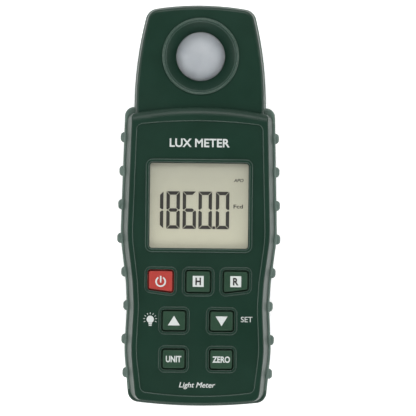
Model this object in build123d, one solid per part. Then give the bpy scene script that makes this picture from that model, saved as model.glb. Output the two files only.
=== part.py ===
"""Handheld light meter: case with a fixed sensor head, seven keys, a display and a battery door.

Frame: the meter lies on its back. +Z points out of the front face, +Y runs towards the sensor
head, +X is to the right of someone reading the display. The origin is on the table, under the
middle of the meter. Millimetres.
"""
from build123d import *
import math
import os

# ---------------------------------------------------------------- overall sizes
LENGTH = 188.2          # tip of the sensor head to the tail
BODY_LENGTH = 140.5     # tail to the top of the body's arched lip
BODY_WIDTH = 73.6       # widest place of the rear case, without the grip nubs
THICKNESS = 38.0        # back of the case to the border round the panel
SEAM = 26.0             # height of the plane where the front and rear mouldings meet
HEAD_WIDTH = 61.8       # sensor head where it leaves the body
HEAD_TIP_WIDTH = 49.8   # sensor head between the corners of its tip, before rounding
HEAD_DROP = 3.0         # sensor head's face below the border
HEAD_BACK = 11.0        # height of the sensor head's underside

TIP = LENGTH / 2
TAIL = -LENGTH / 2
LIP = TAIL + BODY_LENGTH
HEAD_FACE = THICKNESS - HEAD_DROP

# ---------------------------------------------------------------- walls and clearances
WALL = 2.4              # case walls
PANEL_WALL = 1.8        # wall under the sunk panel
TOUCH = 0.02            # glued, pressed or screwed pieces, so that they meet without sharing space
FIT = 0.15              # fixed mouldings that drop into each other
RUN = 0.25              # pieces that slide past each other
LOOSE = 0.1             # loose pieces in their pockets
BEYOND = 1.0            # how far a cut runs past the surface that it opens
KEY_GAP = 0.8           # round each key

# ---------------------------------------------------------------- body outline
# Points down one side: distance from the tail, and how much narrower than the widest place.
SIDE = [(79.4, -0.1), (58.4, 2.6), (46.4, 3.2), (25.9, 2.2)]
SHOULDER_INSET = 1.5
TAIL_INSET = 4.5
SIDE_BEND = 60.0        # radius where two stretches of a side meet
TAIL_RADIUS = 252.0
TAIL_CORNER = 5.2
FLANK_INSET = 2.5       # how far the front case leans in, seam to border
BORDER_ROUND = 0.5      # along the flanks
LIP_ROUND = 4.5         # along the arched lip
LIP_STEP = 0.3          # the lip's rounding starts this far outside its arch
END_INSET = 0.6         # how far the front case's ends lean in, seam to border
FRONT_ARCH = 156.0      # plan radius of the lip over the sensor head
FRONT_SHOULDER = 3.4
REAR_PROUD = 1.1        # how far the rear case stands proud of the front case at the seam
REAR_INSET = 2.3        # how far the rear case leans in, seam to back
REAR_ARCH = 600.0
REAR_SHOULDER = 4.4
REAR_CROWN = 0.8        # rear case's top edge above the lip
BACK_SLOPE = 4.5        # how far the top end of the rear case slopes in, seam to back
BACK_ROUND = 3.5
RIM_ROUND = 0.8         # rear case's rim where it stands proud
END_WALL = 6.5          # rear case's top end, either side of the head

# ---------------------------------------------------------------- sensor head
HEAD_ROOT = 7.0         # length of the head that is tucked in under the lip
HEAD_TIP_RADIUS = 130.0
HEAD_CORNER = 6.0
COVER_STEP = 0.4        # head cover inside the rear case's rim at the seam
COVER_INSET = 0.7       # how far the head cover leans in, seam to face
COVER_ROUND = 1.5
HEAD_REAR_INSET = 1.4
HEAD_REAR_ROUND = 3.0
HEAD_OVERLAP = 1.0      # rear of the head's root runs this much further into the body

DOME_FROM_TIP = 24.2    # middle of the dome to the tip
DOME_RADIUS = 11.3
DOME_RISE = 7.5         # crown of the dome above its rim
DOME_WALL = 1.6
DOME_SKIRT = 0.4        # dome's skirt is this much thicker than its wall
DOME_SUNK = 4.2         # rim of the dome below the head's face
DOME_FLANGE = 1.6
FLANGE_HEIGHT = 1.0
FUNNEL = 6.7            # bezel's outer radius over the dome's
BEAD_WIDTH = 1.2
BEAD_HEIGHT = 0.9
BEAD_CHAMFER = 0.4
BEAD_INNER_CHAMFER = 0.25
BEZEL_SEAT = 1.6        # bezel's outer radius over that of its sleeve through the cover
BEZEL_FOOT = 1.2        # bezel below the dome's rim
BEAD_RADIUS = DOME_RADIUS + FUNNEL
BEZEL_SLEEVE = BEAD_RADIUS - BEZEL_SEAT

CELL_DEPTH = 9.0        # sensor board below the dome's rim
CUP_WALL = 2.0
CUP_SHELF = 1.0         # shelf over the photodiode that carries the filter
CUP_HOLE = 5.0
DIODE_RADIUS = 4.6
DIODE_HEIGHT = 3.2
FILTER_HEIGHT = 1.6
SENSOR_BOARD = (30.0, 28.0, 1.2)
SENSOR_BOARD_CORNER = 2.0
RIBBON_WIDTH = 10.0
RIBBON_THICKNESS = 0.4
RIBBON_LAP = 4.0        # flat length under the sensor board
RIBBON_REACH = 7.0      # flat length under the main board
RIBBON_BENDS = (2.0, 1.0)       # where it bends, past the ends of the sensor and main boards

# ---------------------------------------------------------------- panel, display and keys
PANEL_SINK = 0.6        # panel below the border
PANEL_INSET = 4.8       # panel's edge in from the seam outline
PANEL_TOP = 6.7         # panel's edge below the lip
PANEL_BOTTOM = 5.2      # panel's edge above the tail
PANEL_TOP_ARCH = 230.0
PANEL_BOTTOM_ARCH = 182.0
PANEL_CORNER = 2.9
PANEL = THICKNESS - PANEL_SINK
CEILING = PANEL - PANEL_WALL

DISPLAY_FROM_LIP = 46.4
VIEW_WIDTH = 46.0
VIEW_HEIGHT = 39.6
VIEW_CORNER = 1.2
WINDOW_LEDGE = 0.6      # window rests on this much of the panel all round
WINDOW_THICKNESS = 1.2
WINDOW_SINK = 0.2
FRAME_WIDTH = 1.2       # raised frame round the window
FRAME_HEIGHT = 0.7
DISPLAY_DROP = 0.4      # display glass under the inside of the panel
GLASS = 2.2
GLASS_MARGINS = (1.0, 2.0)      # glass beyond the view, at the sides and at the top and bottom
HOLDER_WALL = 1.6
STRIP_WIDTH = 2.0       # contact strips
STRIP_OUT = 0.8         # middle of each strip beyond the view
LIGHT_MARGIN = 0.4      # light guide's edge inside the view's

TOP_ROW = 58.7          # rows of keys, above the tail
MIDDLE_ROW = 40.4
BOTTOM_ROW = 22.5
TOP_PITCH = 17.5        # between neighbours in the top row
LOW_PITCH = 22.2        # between the two keys of the lower rows
KEY_SIZES = {           # width, height, and how much the outer end of the lower edge is cut up
    "hold": (10.9, 9.6, 0.0),
    "power": (10.9, 9.6, 1.4),
    "range": (10.9, 9.6, 1.4),
    "up": (10.4, 8.8, 0.0),
    "down": (10.4, 8.8, 0.0),
    "unit": (10.1, 8.5, 0.0),
    "zero": (10.1, 8.5, 0.0),
}
KEY_CORNER = 0.8
KEY_RISE = 1.3          # top of a key above the panel
KEY_CHAMFER = 0.4
KEY_FLANGE = 1.2        # flange that stops a key from falling out
KEY_FLANGE_REACH = 1.6
KEY_TRAVEL = 1.0
PLUNGER_RADIUS = 3.0
RING_WIDTH = 1.15       # raised collar round each key's hole
RING_HEIGHT = 0.6
RING_ROUND = 0.4

# ---------------------------------------------------------------- circuit board
BOARD_DROP = 6.0        # board under the inside of the panel
BOARD_TOP = CEILING - BOARD_DROP
BOARD_THICKNESS = 1.6
BOARD_INSET = 9.3       # board's sides in from the widest place of the rear case
BOARD_WIDTH = BODY_WIDTH - 2 * BOARD_INSET
BOARD_FROM_LIP = 10.4
BOARD_FROM_TAIL = 7.6
BOARD_CORNER = 3.0
BOARD_NOTCH = 0.4       # room round the case's posts
SNAP_RADIUS = 3.4       # metal snap domes under the keys
SNAP_HEIGHT = 0.5
SHEET = 1.0             # silicone spacer sheet round the snap domes
SHEET_WIDTH = 50.0
SHEET_CORNER = 2.0
SHEET_MARGIN = 6.4      # beyond the middles of the top and bottom rows of keys
SHEET_HOLE = 0.8        # hole's radius over the snap dome's
# Parts on the back of the board: width, length, height, and their middle from the display's.
CHIPS = {
    "processor_chip": (12.0, 12.0, 1.6, 0.0, -2.0),
    "converter_chip": (8.0, 6.0, 1.6, 0.0, 18.0),
    "crystal_can": (4.6, 11.0, 3.4, -14.0, -2.0),
    "range_relay": (9.0, 14.0, 4.0, 15.0, 8.0),
}
BUZZER = (6.0, 4.2, 16.0, -14.0)                # radius, height, and its middle from the display's
CAPACITOR = (2.4, 5.0, -22.0)                   # radius, height and x
CAPACITOR_PLACES = (-16.0, -9.0, 9.0)           # y from the display's middle

# ---------------------------------------------------------------- battery and its door
BATTERY = (26.5, 46.4, 17.5)
BATTERY_ROUND = 2.2
BATTERY_GAP = 0.4
STUD_HEIGHT = 2.6
STUD_RADII = (2.9, 4.1)
STUD_PITCH = 12.7
CONTACT_BLOCK = (24.0, 4.6, 11.0)
BLOCK_GAP = 0.6         # snap connector to the battery's end
LEAD_RADIUS = 0.7
LEAD_HOLE = 1.0
COMPARTMENT_WALL = 1.6
COMPARTMENT_CORNER = 1.0
BATTERY_FROM_TAIL = 6.2
DOOR_WIDTH = 35.0
DOOR_LENGTH = 60.0
DOOR_THICKNESS = 2.2
DOOR_RECESS = 0.2       # door above the table the meter lies on
RAIL = 1.0              # tongues along the door's two sides
RAIL_THICKNESS = 0.9
RAIL_DROP = 0.4         # tongues below the door's inside
DOOR_RIDGES = 5         # grooves for the thumb
RIDGE_SIZE = (16.0, 0.9)
RIDGE_DEPTH = 0.5
RIDGE_PITCH = 2.2
RIDGE_FIRST = 12.0      # first groove above the tail

# ---------------------------------------------------------------- fixings
SCREW_SHANK = 1.3
SCREW_HEAD = 2.8
SCREW_HEAD_HEIGHT = 1.8
SHANK_GAP = 0.2         # round a shank in the rear case's boss
HEAD_GAP = 0.3          # round a screw head in its counterbore
POST_RADIUS = 3.3
HEAD_POST_RADIUS = 2.8
BOSS_EXTRA = 1.0        # rear bosses of the body beyond the radius of its posts
POST_DROP = 5.0         # where the rear bosses meet the front posts, below the seam
POST_MEET = SEAM - POST_DROP
BLIND = 1.0             # left over the end of a post's hole
THREAD_END = 1.0        # screw's end short of the end of its hole
BODY_SEAT = 8.0         # height of the seats under the body's screw heads
HEAD_SEAT_RISE = 4.0
HEAD_SEAT = HEAD_BACK + HEAD_SEAT_RISE
BOARD_SCREW = 0.9
BOARD_SCREW_HEAD = 1.8
BOARD_SCREW_HEAD_HEIGHT = 1.2
BOARD_SCREW_GAP = 0.15
BOARD_POST_WALL = 1.5
SLOT_LENGTH = 1.5       # arms of a cross slot, as shares of the head's radius
SLOT_WIDTH = 0.28
# Each pair of fixings: in from the side, and from the end it is nearest.
TOP_POSTS = (9.2, 14.0)
TAIL_POSTS = (11.2, 9.6)
TIP_POSTS = (5.3, 9.8)
TOP_BOARD_SCREWS = (17.5, 15.6)         # first value out from the middle
TAIL_BOARD_SCREWS = (9.0, 11.3)

TRIPOD_THREAD = 3.175   # radius of a quarter-inch camera thread
TRIPOD_DEPTH = 8.0
TRIPOD_INSERT = 4.8
TRIPOD_FROM_LIP = 32.0

NUBS = 8
NUB_PITCH = 15.8
NUB_LENGTH = 4.9
NUB_PROUD = 1.8
NUB_FIRST = 15.4        # lowest nub above the tail
NUB_LENGTH_UP = 15.0    # nub's length from front to back
NUB_ROUND = 1.75
NUB_BELOW_SEAM = 0.6
GRIP_THICKNESS = 1.2
GRIP_BOTTOM = 6.0
GRIP_END = 7.35         # grip beyond the middles of its first and last nubs

LABEL = (38.0, 24.0, 0.25)
LABEL_CORNER = 1.4
LABEL_SINK = 0.1        # label below the back
LABEL_FROM_LIP = 58.0


# ================================================================ outlines and shared shapes
def arc_drop(x, radius):
    """How far an arc has fallen at x from its crown."""
    return radius - math.sqrt(radius**2 - x**2)


def round_corners(face, corners):
    """Face with the corners at (x, y), on both sides, rounded to the given radii."""
    for x, y, radius in corners:
        for sign in (1, -1):
            corner = face.vertices().sort_by_distance((sign * x, y, 0))[0]
            face = fillet(corner, radius)
    return face


def body_outline(inset, top, tail, arches, corners, half=BODY_WIDTH / 2 - REAR_PROUD):
    """The body's waisted plan, inset from a half width, between arched ends at top and tail."""
    x_top = half - SHOULDER_INSET - inset
    x_tail = half - TAIL_INSET - inset
    side = [(x_top, top - arc_drop(x_top, arches[0]))]
    side += [(half - narrower - inset, TAIL + height) for height, narrower in SIDE]
    side += [(x_tail, tail + arc_drop(x_tail, arches[1]))]
    far_side = [(-x, y) for x, y in reversed(side)]
    edges = [
        ThreePointArc(far_side[-1], (0, top), side[0]),
        Polyline(*side),
        ThreePointArc(side[-1], (0, tail), far_side[0]),
        Polyline(*far_side),
    ]
    radii = [corners[0]] + [SIDE_BEND] * len(SIDE) + [corners[1]]
    rounding = [(x, y, radius) for (x, y), radius in zip(side, radii)]
    return round_corners(make_face(edges), rounding)


def front_outline(inset, end_inset=None):
    """The front case's plan. Its two ends may lean in less than its flanks."""
    ends = inset if end_inset is None else end_inset
    corners = (FRONT_SHOULDER - inset / 2, TAIL_CORNER - inset / 2)
    arches = (FRONT_ARCH, TAIL_RADIUS)
    return body_outline(inset, LIP - ends, TAIL + REAR_PROUD + ends, arches, corners)


def rear_outline(inset, slope=0.0):
    corners = (REAR_SHOULDER - inset / 2, TAIL_CORNER - inset / 2)
    top = LIP + REAR_CROWN - inset - slope
    return body_outline(inset, top, TAIL + inset, (REAR_ARCH, TAIL_RADIUS), corners, BODY_WIDTH / 2)


def panel_outline():
    arches = (PANEL_TOP_ARCH, PANEL_BOTTOM_ARCH)
    corners = (PANEL_CORNER, PANEL_CORNER)
    return body_outline(PANEL_INSET, LIP - PANEL_TOP, TAIL + PANEL_BOTTOM, arches, corners)


def head_outline(inset, root=HEAD_ROOT):
    """The sensor head's plan, from under the body's lip to its arched tip."""
    half = HEAD_WIDTH / 2 - inset
    tip_half = HEAD_TIP_WIDTH / 2 - inset
    tip = TIP - inset
    shoulder = tip - arc_drop(tip_half, HEAD_TIP_RADIUS)
    edges = [
        Line((-half, LIP - root), (half, LIP - root)),
        Line((half, LIP - root), (half, LIP)),
        TangentArc((half, LIP), (tip_half, shoulder), tangent=(0, 1)),
        ThreePointArc((tip_half, shoulder), (0, tip), (-tip_half, shoulder)),
        TangentArc((-half, LIP), (-tip_half, shoulder), tangent=(0, 1)),
        Line((-half, LIP - root), (-half, LIP)),
    ]
    return round_corners(make_face(edges), [(tip_half, shoulder, HEAD_CORNER - inset / 2)])


def between(first, bottom, second, top):
    """Solid between one outline at the bottom height and another at the top height."""
    return loft([Pos(0, 0, bottom) * first, Pos(0, 0, top) * second], ruled=True)


def prism(face, bottom, top):
    return extrude(Pos(0, 0, bottom) * face, top - bottom, dir=(0, 0, 1))


def plate(width, height, bottom, top, x=0.0, y=0.0, corner=0.0):
    face = RectangleRounded(width, height, corner) if corner else Rectangle(width, height)
    return prism(Pos(x, y) * face, bottom, top)


def rod(radius, bottom, top, x=0.0, y=0.0):
    return prism(Pos(x, y) * Circle(radius), bottom, top)


def tube(radius, bore, bottom, top, x=0.0, y=0.0):
    return rod(radius, bottom, top, x, y) - rod(bore, bottom, top, x, y)


def mirrored(x, y):
    return [(x, y), (-x, y)]


def half_width(y):
    """Half width of the rear case at the seam, between the points of SIDE."""
    ends = [(BODY_LENGTH, SHOULDER_INSET)] + SIDE + [(0.0, TAIL_INSET)]
    height = y - TAIL
    for (upper, wide), (lower, narrow) in zip(ends, ends[1:]):
        if lower <= height <= upper:
            share = (height - lower) / (upper - lower)
            return BODY_WIDTH / 2 - narrow - share * (wide - narrow)
    return BODY_WIDTH / 2 - TAIL_INSET


# ================================================================ places
DISPLAY_Y = LIP - DISPLAY_FROM_LIP
DOME_Y = TIP - DOME_FROM_TIP
BOARD_END = LIP - BOARD_FROM_LIP
BOARD_START = TAIL + BOARD_FROM_TAIL
BODY_POSTS = mirrored(BODY_WIDTH / 2 - TOP_POSTS[0], LIP - TOP_POSTS[1])
BODY_POSTS += mirrored(BODY_WIDTH / 2 - TAIL_POSTS[0], TAIL + TAIL_POSTS[1])
HEAD_POSTS = mirrored(HEAD_TIP_WIDTH / 2 - TIP_POSTS[0], TIP - TIP_POSTS[1])
BOARD_SCREWS = mirrored(TOP_BOARD_SCREWS[0], LIP - TOP_BOARD_SCREWS[1])
BOARD_SCREWS += mirrored(TAIL_BOARD_SCREWS[0], TAIL + TAIL_BOARD_SCREWS[1])
KEY_PLACES = {
    "power": (-TOP_PITCH, TAIL + TOP_ROW),
    "hold": (0.0, TAIL + TOP_ROW),
    "range": (TOP_PITCH, TAIL + TOP_ROW),
    "up": (-LOW_PITCH / 2, TAIL + MIDDLE_ROW),
    "down": (LOW_PITCH / 2, TAIL + MIDDLE_ROW),
    "unit": (-LOW_PITCH / 2, TAIL + BOTTOM_ROW),
    "zero": (LOW_PITCH / 2, TAIL + BOTTOM_ROW),
}
BOARD_BOTTOM = BOARD_TOP - BOARD_THICKNESS
BATTERY_Z = DOOR_RECESS + DOOR_THICKNESS + BATTERY_GAP
BATTERY_Y = TAIL + BATTERY_FROM_TAIL
STUDS_Y = BATTERY_Y + BATTERY[1]
BATTERY_MIDDLE = BATTERY_Z + BATTERY[2] / 2
BLOCK_Y = STUDS_Y + BLOCK_GAP
DISPLAY_TOP = CEILING - DISPLAY_DROP
WINDOW = (VIEW_WIDTH + 2 * WINDOW_LEDGE, VIEW_HEIGHT + 2 * WINDOW_LEDGE)
WINDOW_CORNER = VIEW_CORNER + WINDOW_LEDGE
WINDOW_TOP = PANEL - WINDOW_SINK
GLASS_SIZE = (VIEW_WIDTH + 2 * GLASS_MARGINS[0], VIEW_HEIGHT + 2 * GLASS_MARGINS[1])
RIM = HEAD_FACE - DOME_SUNK      # height of the dome's rim
CUP_RADIUS = DOME_RADIUS + DOME_FLANGE
CUP_TOP = RIM - BEZEL_FOOT - FLANGE_HEIGHT
SENSOR_BOARD_TOP = RIM - CELL_DEPTH
SHELF = SENSOR_BOARD_TOP + DIODE_HEIGHT + LOOSE
TRIPOD_Y = LIP - TRIPOD_FROM_LIP
LABEL_Y = LIP - LABEL_FROM_LIP


def key_outline(name, grow=0.0):
    """A key's plan. The outer keys of the top row have a slanted lower edge."""
    width, height, cut = KEY_SIZES[name]
    x, y = KEY_PLACES[name]
    outer = math.copysign(width / 2, x)
    points = [
        (-outer, height / 2),
        (outer, height / 2),
        (outer, -height / 2 + cut),
        (-outer, -height / 2),
    ]
    face = make_face(Polyline(*points, close=True))
    face = fillet(face.vertices(), KEY_CORNER)
    if grow:
        face = offset(face, grow)
    return Pos(x, y) * face


# ================================================================ case
def lip_disc():
    """Large disc whose rounded rim shapes the arched lip."""
    radius = FRONT_ARCH + LIP_STEP
    disc = rod(radius, SEAM - BEYOND, THICKNESS, 0, LIP - FRONT_ARCH)
    return fillet(disc.edges().group_by(Axis.Z)[-1], LIP_ROUND)


def front_case():
    """Front moulding: sunk panel, display opening, key rings, and posts for screws and board."""
    body = between(front_outline(0), SEAM, front_outline(FLANK_INSET, END_INSET), THICKNESS)
    body &= lip_disc()
    border = body.edges().group_by(Axis.Z)[-1].sort_by(Axis.Y)[:-1]
    body = fillet(border, BORDER_ROUND)
    body -= prism(panel_outline(), PANEL, THICKNESS + BEYOND)
    body -= between(front_outline(WALL), SEAM, front_outline(WALL + FLANK_INSET), CEILING)
    body -= prism(head_outline(-FIT, HEAD_ROOT + FIT), SEAM, HEAD_FACE + FIT)
    for x, y in BODY_POSTS:
        body += rod(POST_RADIUS, POST_MEET, CEILING, x, y)
        body -= rod(SCREW_SHANK + TOUCH, POST_MEET, CEILING - BLIND, x, y)
    for x, y in BOARD_SCREWS:
        body += rod(BOARD_SCREW + BOARD_POST_WALL, BOARD_TOP, CEILING, x, y)
        body -= rod(BOARD_SCREW + TOUCH, BOARD_TOP, CEILING - BLIND, x, y)
    return key_holes(display_opening(body))


def display_opening(body):
    """Adds the raised frame round the window, and cuts the window's seat and the opening."""
    width, height = WINDOW
    body += plate(
        width + 2 * FRAME_WIDTH, height + 2 * FRAME_WIDTH, PANEL, PANEL + FRAME_HEIGHT,
        y=DISPLAY_Y, corner=WINDOW_CORNER + FRAME_WIDTH,
    )
    seat = WINDOW_TOP - WINDOW_THICKNESS
    body -= plate(width, height, seat, THICKNESS + BEYOND, y=DISPLAY_Y, corner=WINDOW_CORNER)
    return body - plate(
        VIEW_WIDTH, VIEW_HEIGHT, CEILING - BEYOND, PANEL, y=DISPLAY_Y, corner=VIEW_CORNER
    )


def key_holes(body):
    """Adds a raised collar for each key, and cuts its hole."""
    for name in KEY_PLACES:
        collar = prism(key_outline(name, KEY_GAP + RING_WIDTH), PANEL, PANEL + RING_HEIGHT)
        body += fillet(collar.edges().group_by(Axis.Z)[-1], RING_ROUND)
        body -= prism(key_outline(name, KEY_GAP), CEILING - BEYOND, THICKNESS + BEYOND)
    return body


def head_cover():
    """Front of the sensor head. Its root is tucked in under the body's lip."""
    cover = between(
        head_outline(COVER_STEP), SEAM, head_outline(COVER_STEP + COVER_INSET), HEAD_FACE
    )
    cover = fillet(cover.edges().group_by(Axis.Z)[-1], COVER_ROUND)
    inner = head_outline(COVER_STEP + WALL, HEAD_ROOT + WALL)
    cover -= prism(inner, SEAM, HEAD_FACE - WALL)
    for x, y in HEAD_POSTS:
        cover += rod(HEAD_POST_RADIUS, POST_MEET, HEAD_FACE - WALL, x, y)
        cover -= rod(SCREW_SHANK + TOUCH, POST_MEET, HEAD_FACE - WALL, x, y)
    return cover - rod(BEZEL_SLEEVE + TOUCH, HEAD_FACE - WALL, HEAD_FACE + BEYOND, 0, DOME_Y)


def rear_body():
    """Body part of the rear case as a full solid."""
    solid = between(rear_outline(REAR_INSET, BACK_SLOPE), 0, rear_outline(0), SEAM)
    return fillet(solid.edges().group_by(Axis.Z)[0], BACK_ROUND)


def rear_inner():
    """Room inside the body part of the rear case. Its top end wall is thick beside the head."""
    lower = rear_outline(WALL + REAR_INSET, BACK_SLOPE + END_WALL - WALL)
    solid = between(lower, WALL, rear_outline(WALL, END_WALL - WALL), SEAM)
    return fillet(solid.edges().group_by(Axis.Z)[0], BACK_ROUND - WALL / 2)


def rear_shell():
    """Body part of the rear case as a full solid, with its proud rim rounded."""
    return fillet(rear_body().edges().group_by(Axis.Z)[-1], RIM_ROUND)


def head_rear(inset=0.0, bottom=HEAD_BACK):
    """Head part of the rear case as a full solid, or with an inset the room inside it."""
    root = HEAD_ROOT + HEAD_OVERLAP
    lower = head_outline(inset + HEAD_REAR_INSET, root)
    solid = between(lower, bottom, head_outline(inset, root), SEAM)
    return fillet(solid.edges().group_by(Axis.Z)[0], HEAD_REAR_ROUND - inset / 2)


def door_blank(grow=0.0):
    """Room of the battery door and its two side tongues, out past the tail."""
    top = DOOR_RECESS + DOOR_THICKNESS
    width = DOOR_WIDTH + 2 * grow
    length = DOOR_LENGTH + grow + BEYOND
    middle = TAIL - BEYOND + length / 2
    slab = plate(width, length, -BEYOND, top + grow, y=middle)
    rail_top = top - RAIL_DROP + grow
    rail_bottom = top - RAIL_DROP - RAIL_THICKNESS - grow
    return slab + plate(width + 2 * RAIL, length, rail_bottom, rail_top, y=middle)


def compartment(grow=0.0):
    """Battery space, or with a wall's thickness its outside."""
    top = BATTERY_Z + BATTERY[2] + BATTERY_GAP
    start = BATTERY_Y - BATTERY_GAP
    end = BLOCK_Y + CONTACT_BLOCK[1] + BATTERY_GAP
    width = BATTERY[0] + 2 * BATTERY_GAP
    bottom = WALL if grow else -BEYOND
    return plate(
        width + 2 * grow, end - start + 2 * grow, bottom, top + grow,
        y=(start + end) / 2, corner=COMPARTMENT_CORNER + grow,
    )


def rear_case():
    """Rear moulding of body and head, with the battery compartment and the screw bosses."""
    body = rear_shell()
    shell = body + head_rear()
    case = shell - rear_inner() - head_rear(WALL, HEAD_BACK + WALL)
    case += compartment(COMPARTMENT_WALL)
    case += rod(TRIPOD_INSERT + WALL, WALL / 2, TRIPOD_DEPTH + WALL, 0, TRIPOD_Y)
    case -= rod(TRIPOD_INSERT + TOUCH, -BEYOND, TRIPOD_DEPTH + TOUCH, 0, TRIPOD_Y)
    case = screw_bosses(case) & shell
    case -= door_blank(RUN)
    case -= compartment()
    case -= lead_holes()
    width, height, thickness = LABEL
    case -= plate(
        width + 2 * FIT, height + 2 * FIT, -BEYOND, thickness + LABEL_SINK,
        y=LABEL_Y, corner=LABEL_CORNER + FIT,
    )
    skin = grip_skin(body, GRIP_THICKNESS + FIT / 2)
    return case - skin - mirror(skin, Plane.YZ)


def screw_bosses(case):
    """Adds the bosses of the case's screws, each with a counterbore for the screw's head."""
    seats = [(x, y, WALL / 2, BODY_SEAT, POST_RADIUS + BOSS_EXTRA) for x, y in BODY_POSTS]
    seats += [(x, y, HEAD_BACK + WALL / 2, HEAD_SEAT, POST_RADIUS) for x, y in HEAD_POSTS]
    for x, y, foot, seat, radius in seats:
        case += rod(radius, foot, POST_MEET, x, y)
        case -= rod(SCREW_HEAD + HEAD_GAP, -BEYOND, seat, x, y)
        case -= rod(SCREW_SHANK + SHANK_GAP, seat, POST_MEET, x, y)
    return case


def grip_core(thickness):
    """The rear case's outer shape, less a skin of that thickness."""
    lower = rear_outline(thickness + REAR_INSET, BACK_SLOPE)
    return between(lower, 0, rear_outline(thickness), SEAM)


def grip_skin(shell, thickness):
    """Strip of the right side wall, between the shell's surface and a depth inside it."""
    span = NUB_PITCH * (NUBS - 1)
    length = span + 2 * GRIP_END
    height = SEAM - GRIP_BOTTOM
    place = Pos(BODY_WIDTH / 2, TAIL + NUB_FIRST + span / 2, GRIP_BOTTOM + height / 2)
    band = place * Box(BODY_WIDTH / 3, length, height)
    return (shell & band) - grip_core(thickness)


def grip():
    """Soft grip of the right side: a strip let into the rear case, with a row of nubs."""
    strip = grip_skin(rear_shell(), GRIP_THICKNESS)
    lean = math.degrees(math.atan2(REAR_INSET, SEAM))
    depth = 3 * NUB_PROUD           # before its inner part is cut away
    z = SEAM - NUB_LENGTH_UP / 2 - NUB_BELOW_SEAM
    drift = (SEAM - z) * REAR_INSET / SEAM
    nubs = []
    for index in range(NUBS):
        y = TAIL + NUB_FIRST + index * NUB_PITCH
        x = half_width(y) + NUB_PROUD - depth / 2 - drift
        nub = fillet(Box(depth, NUB_LENGTH, NUB_LENGTH_UP).edges(), NUB_ROUND)
        nubs.append(Pos(x, y, z) * Rot(0, lean, 0) * nub)
    core = grip_core(GRIP_THICKNESS)
    return strip + [nub - core for nub in nubs]


# ================================================================ battery door and battery
def battery_door():
    """Door that slides off over the tail, with finger ridges on its outside."""
    door = (Pos(0, 0, DOOR_RECESS) * rear_body()) & door_blank()
    for index in range(DOOR_RIDGES):
        y = TAIL + RIDGE_FIRST + index * RIDGE_PITCH
        door -= plate(*RIDGE_SIZE, -BEYOND, DOOR_RECESS + RIDGE_DEPTH, y=y)
    return door


def battery():
    """Nine-volt block with its two snap studs."""
    block = Pos(0, BATTERY_Y + BATTERY[1] / 2, BATTERY_MIDDLE) * Box(*BATTERY)
    block = fillet(block.edges().filter_by(Axis.Y), BATTERY_ROUND)
    for side, radius in zip((1, -1), STUD_RADII):
        place = Pos(side * STUD_PITCH / 2, STUDS_Y + STUD_HEIGHT / 2, BATTERY_MIDDLE)
        block += place * Rot(90, 0, 0) * Cylinder(radius, STUD_HEIGHT)
    return block


def contact_block():
    """Snap connector at the end of the battery, with a socket over each stud."""
    block = Pos(0, BLOCK_Y + CONTACT_BLOCK[1] / 2, BATTERY_MIDDLE) * Box(*CONTACT_BLOCK)
    for side, radius in zip((1, -1), STUD_RADII):
        place = Pos(side * STUD_PITCH / 2, BLOCK_Y, BATTERY_MIDDLE)
        block -= place * Rot(90, 0, 0) * Cylinder(radius + LOOSE, 2 * STUD_HEIGHT)
    return block


def lead_places():
    return [(side * STUD_PITCH / 2, BLOCK_Y + CONTACT_BLOCK[1] / 2) for side in (1, -1)]


def battery_leads():
    """Two stiff leads from the snap connector up to the circuit board."""
    bottom = BATTERY_MIDDLE + CONTACT_BLOCK[2] / 2
    return [rod(LEAD_RADIUS, bottom, BOARD_BOTTOM, x, y) for x, y in lead_places()]


def lead_holes():
    """Holes for the leads through the inner wall of the battery compartment."""
    inside = BATTERY_Z + BATTERY[2] + BATTERY_GAP
    outside = inside + COMPARTMENT_WALL
    holes = [rod(LEAD_HOLE, inside - BEYOND, outside + BEYOND, x, y) for x, y in lead_places()]
    return Part() + holes


# ================================================================ display
def display_window():
    """Clear window let into the panel's frame."""
    width, height = WINDOW
    bottom = WINDOW_TOP - WINDOW_THICKNESS
    return plate(width - FIT, height - FIT, bottom, WINDOW_TOP, y=DISPLAY_Y, corner=WINDOW_CORNER)


def display_glass():
    """Liquid crystal cell: two sheets of glass."""
    return plate(*GLASS_SIZE, DISPLAY_TOP - GLASS, DISPLAY_TOP, y=DISPLAY_Y)


def display_holder():
    """Frame that holds the glass, the contact strips and the backlight on the board."""
    width = GLASS_SIZE[0] + 2 * FIT
    height = GLASS_SIZE[1] + 2 * FIT
    outside = plate(
        width + 2 * HOLDER_WALL, height + 2 * HOLDER_WALL, BOARD_TOP, DISPLAY_TOP, y=DISPLAY_Y
    )
    return outside - plate(width, height, BOARD_TOP, DISPLAY_TOP, y=DISPLAY_Y)


def contact_strips():
    """Zebra strips between the board and the glass, along its two long edges."""
    out = VIEW_HEIGHT / 2 + STRIP_OUT
    top = DISPLAY_TOP - GLASS
    return [
        plate(VIEW_WIDTH, STRIP_WIDTH, BOARD_TOP, top, y=DISPLAY_Y + side * out)
        for side in (1, -1)
    ]


def backlight():
    """Light guide behind the glass."""
    height = VIEW_HEIGHT - 2 * LIGHT_MARGIN
    return plate(VIEW_WIDTH, height, BOARD_TOP, DISPLAY_TOP - GLASS - LOOSE, y=DISPLAY_Y)


# ================================================================ keys and circuit board
def key(name):
    """A key with the flange that keeps it in and the plunger that works its snap dome."""
    cap = prism(key_outline(name), CEILING - FIT - KEY_FLANGE, PANEL + KEY_RISE)
    cap = chamfer(cap.edges().group_by(Axis.Z)[-1], KEY_CHAMFER)
    flange_top = CEILING - RUN
    cap += prism(key_outline(name, KEY_FLANGE_REACH), flange_top - KEY_FLANGE, flange_top)
    foot = BOARD_TOP + SNAP_HEIGHT + KEY_TRAVEL + LOOSE
    x, y = KEY_PLACES[name]
    return cap + rod(PLUNGER_RADIUS, foot, flange_top, x, y)


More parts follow.
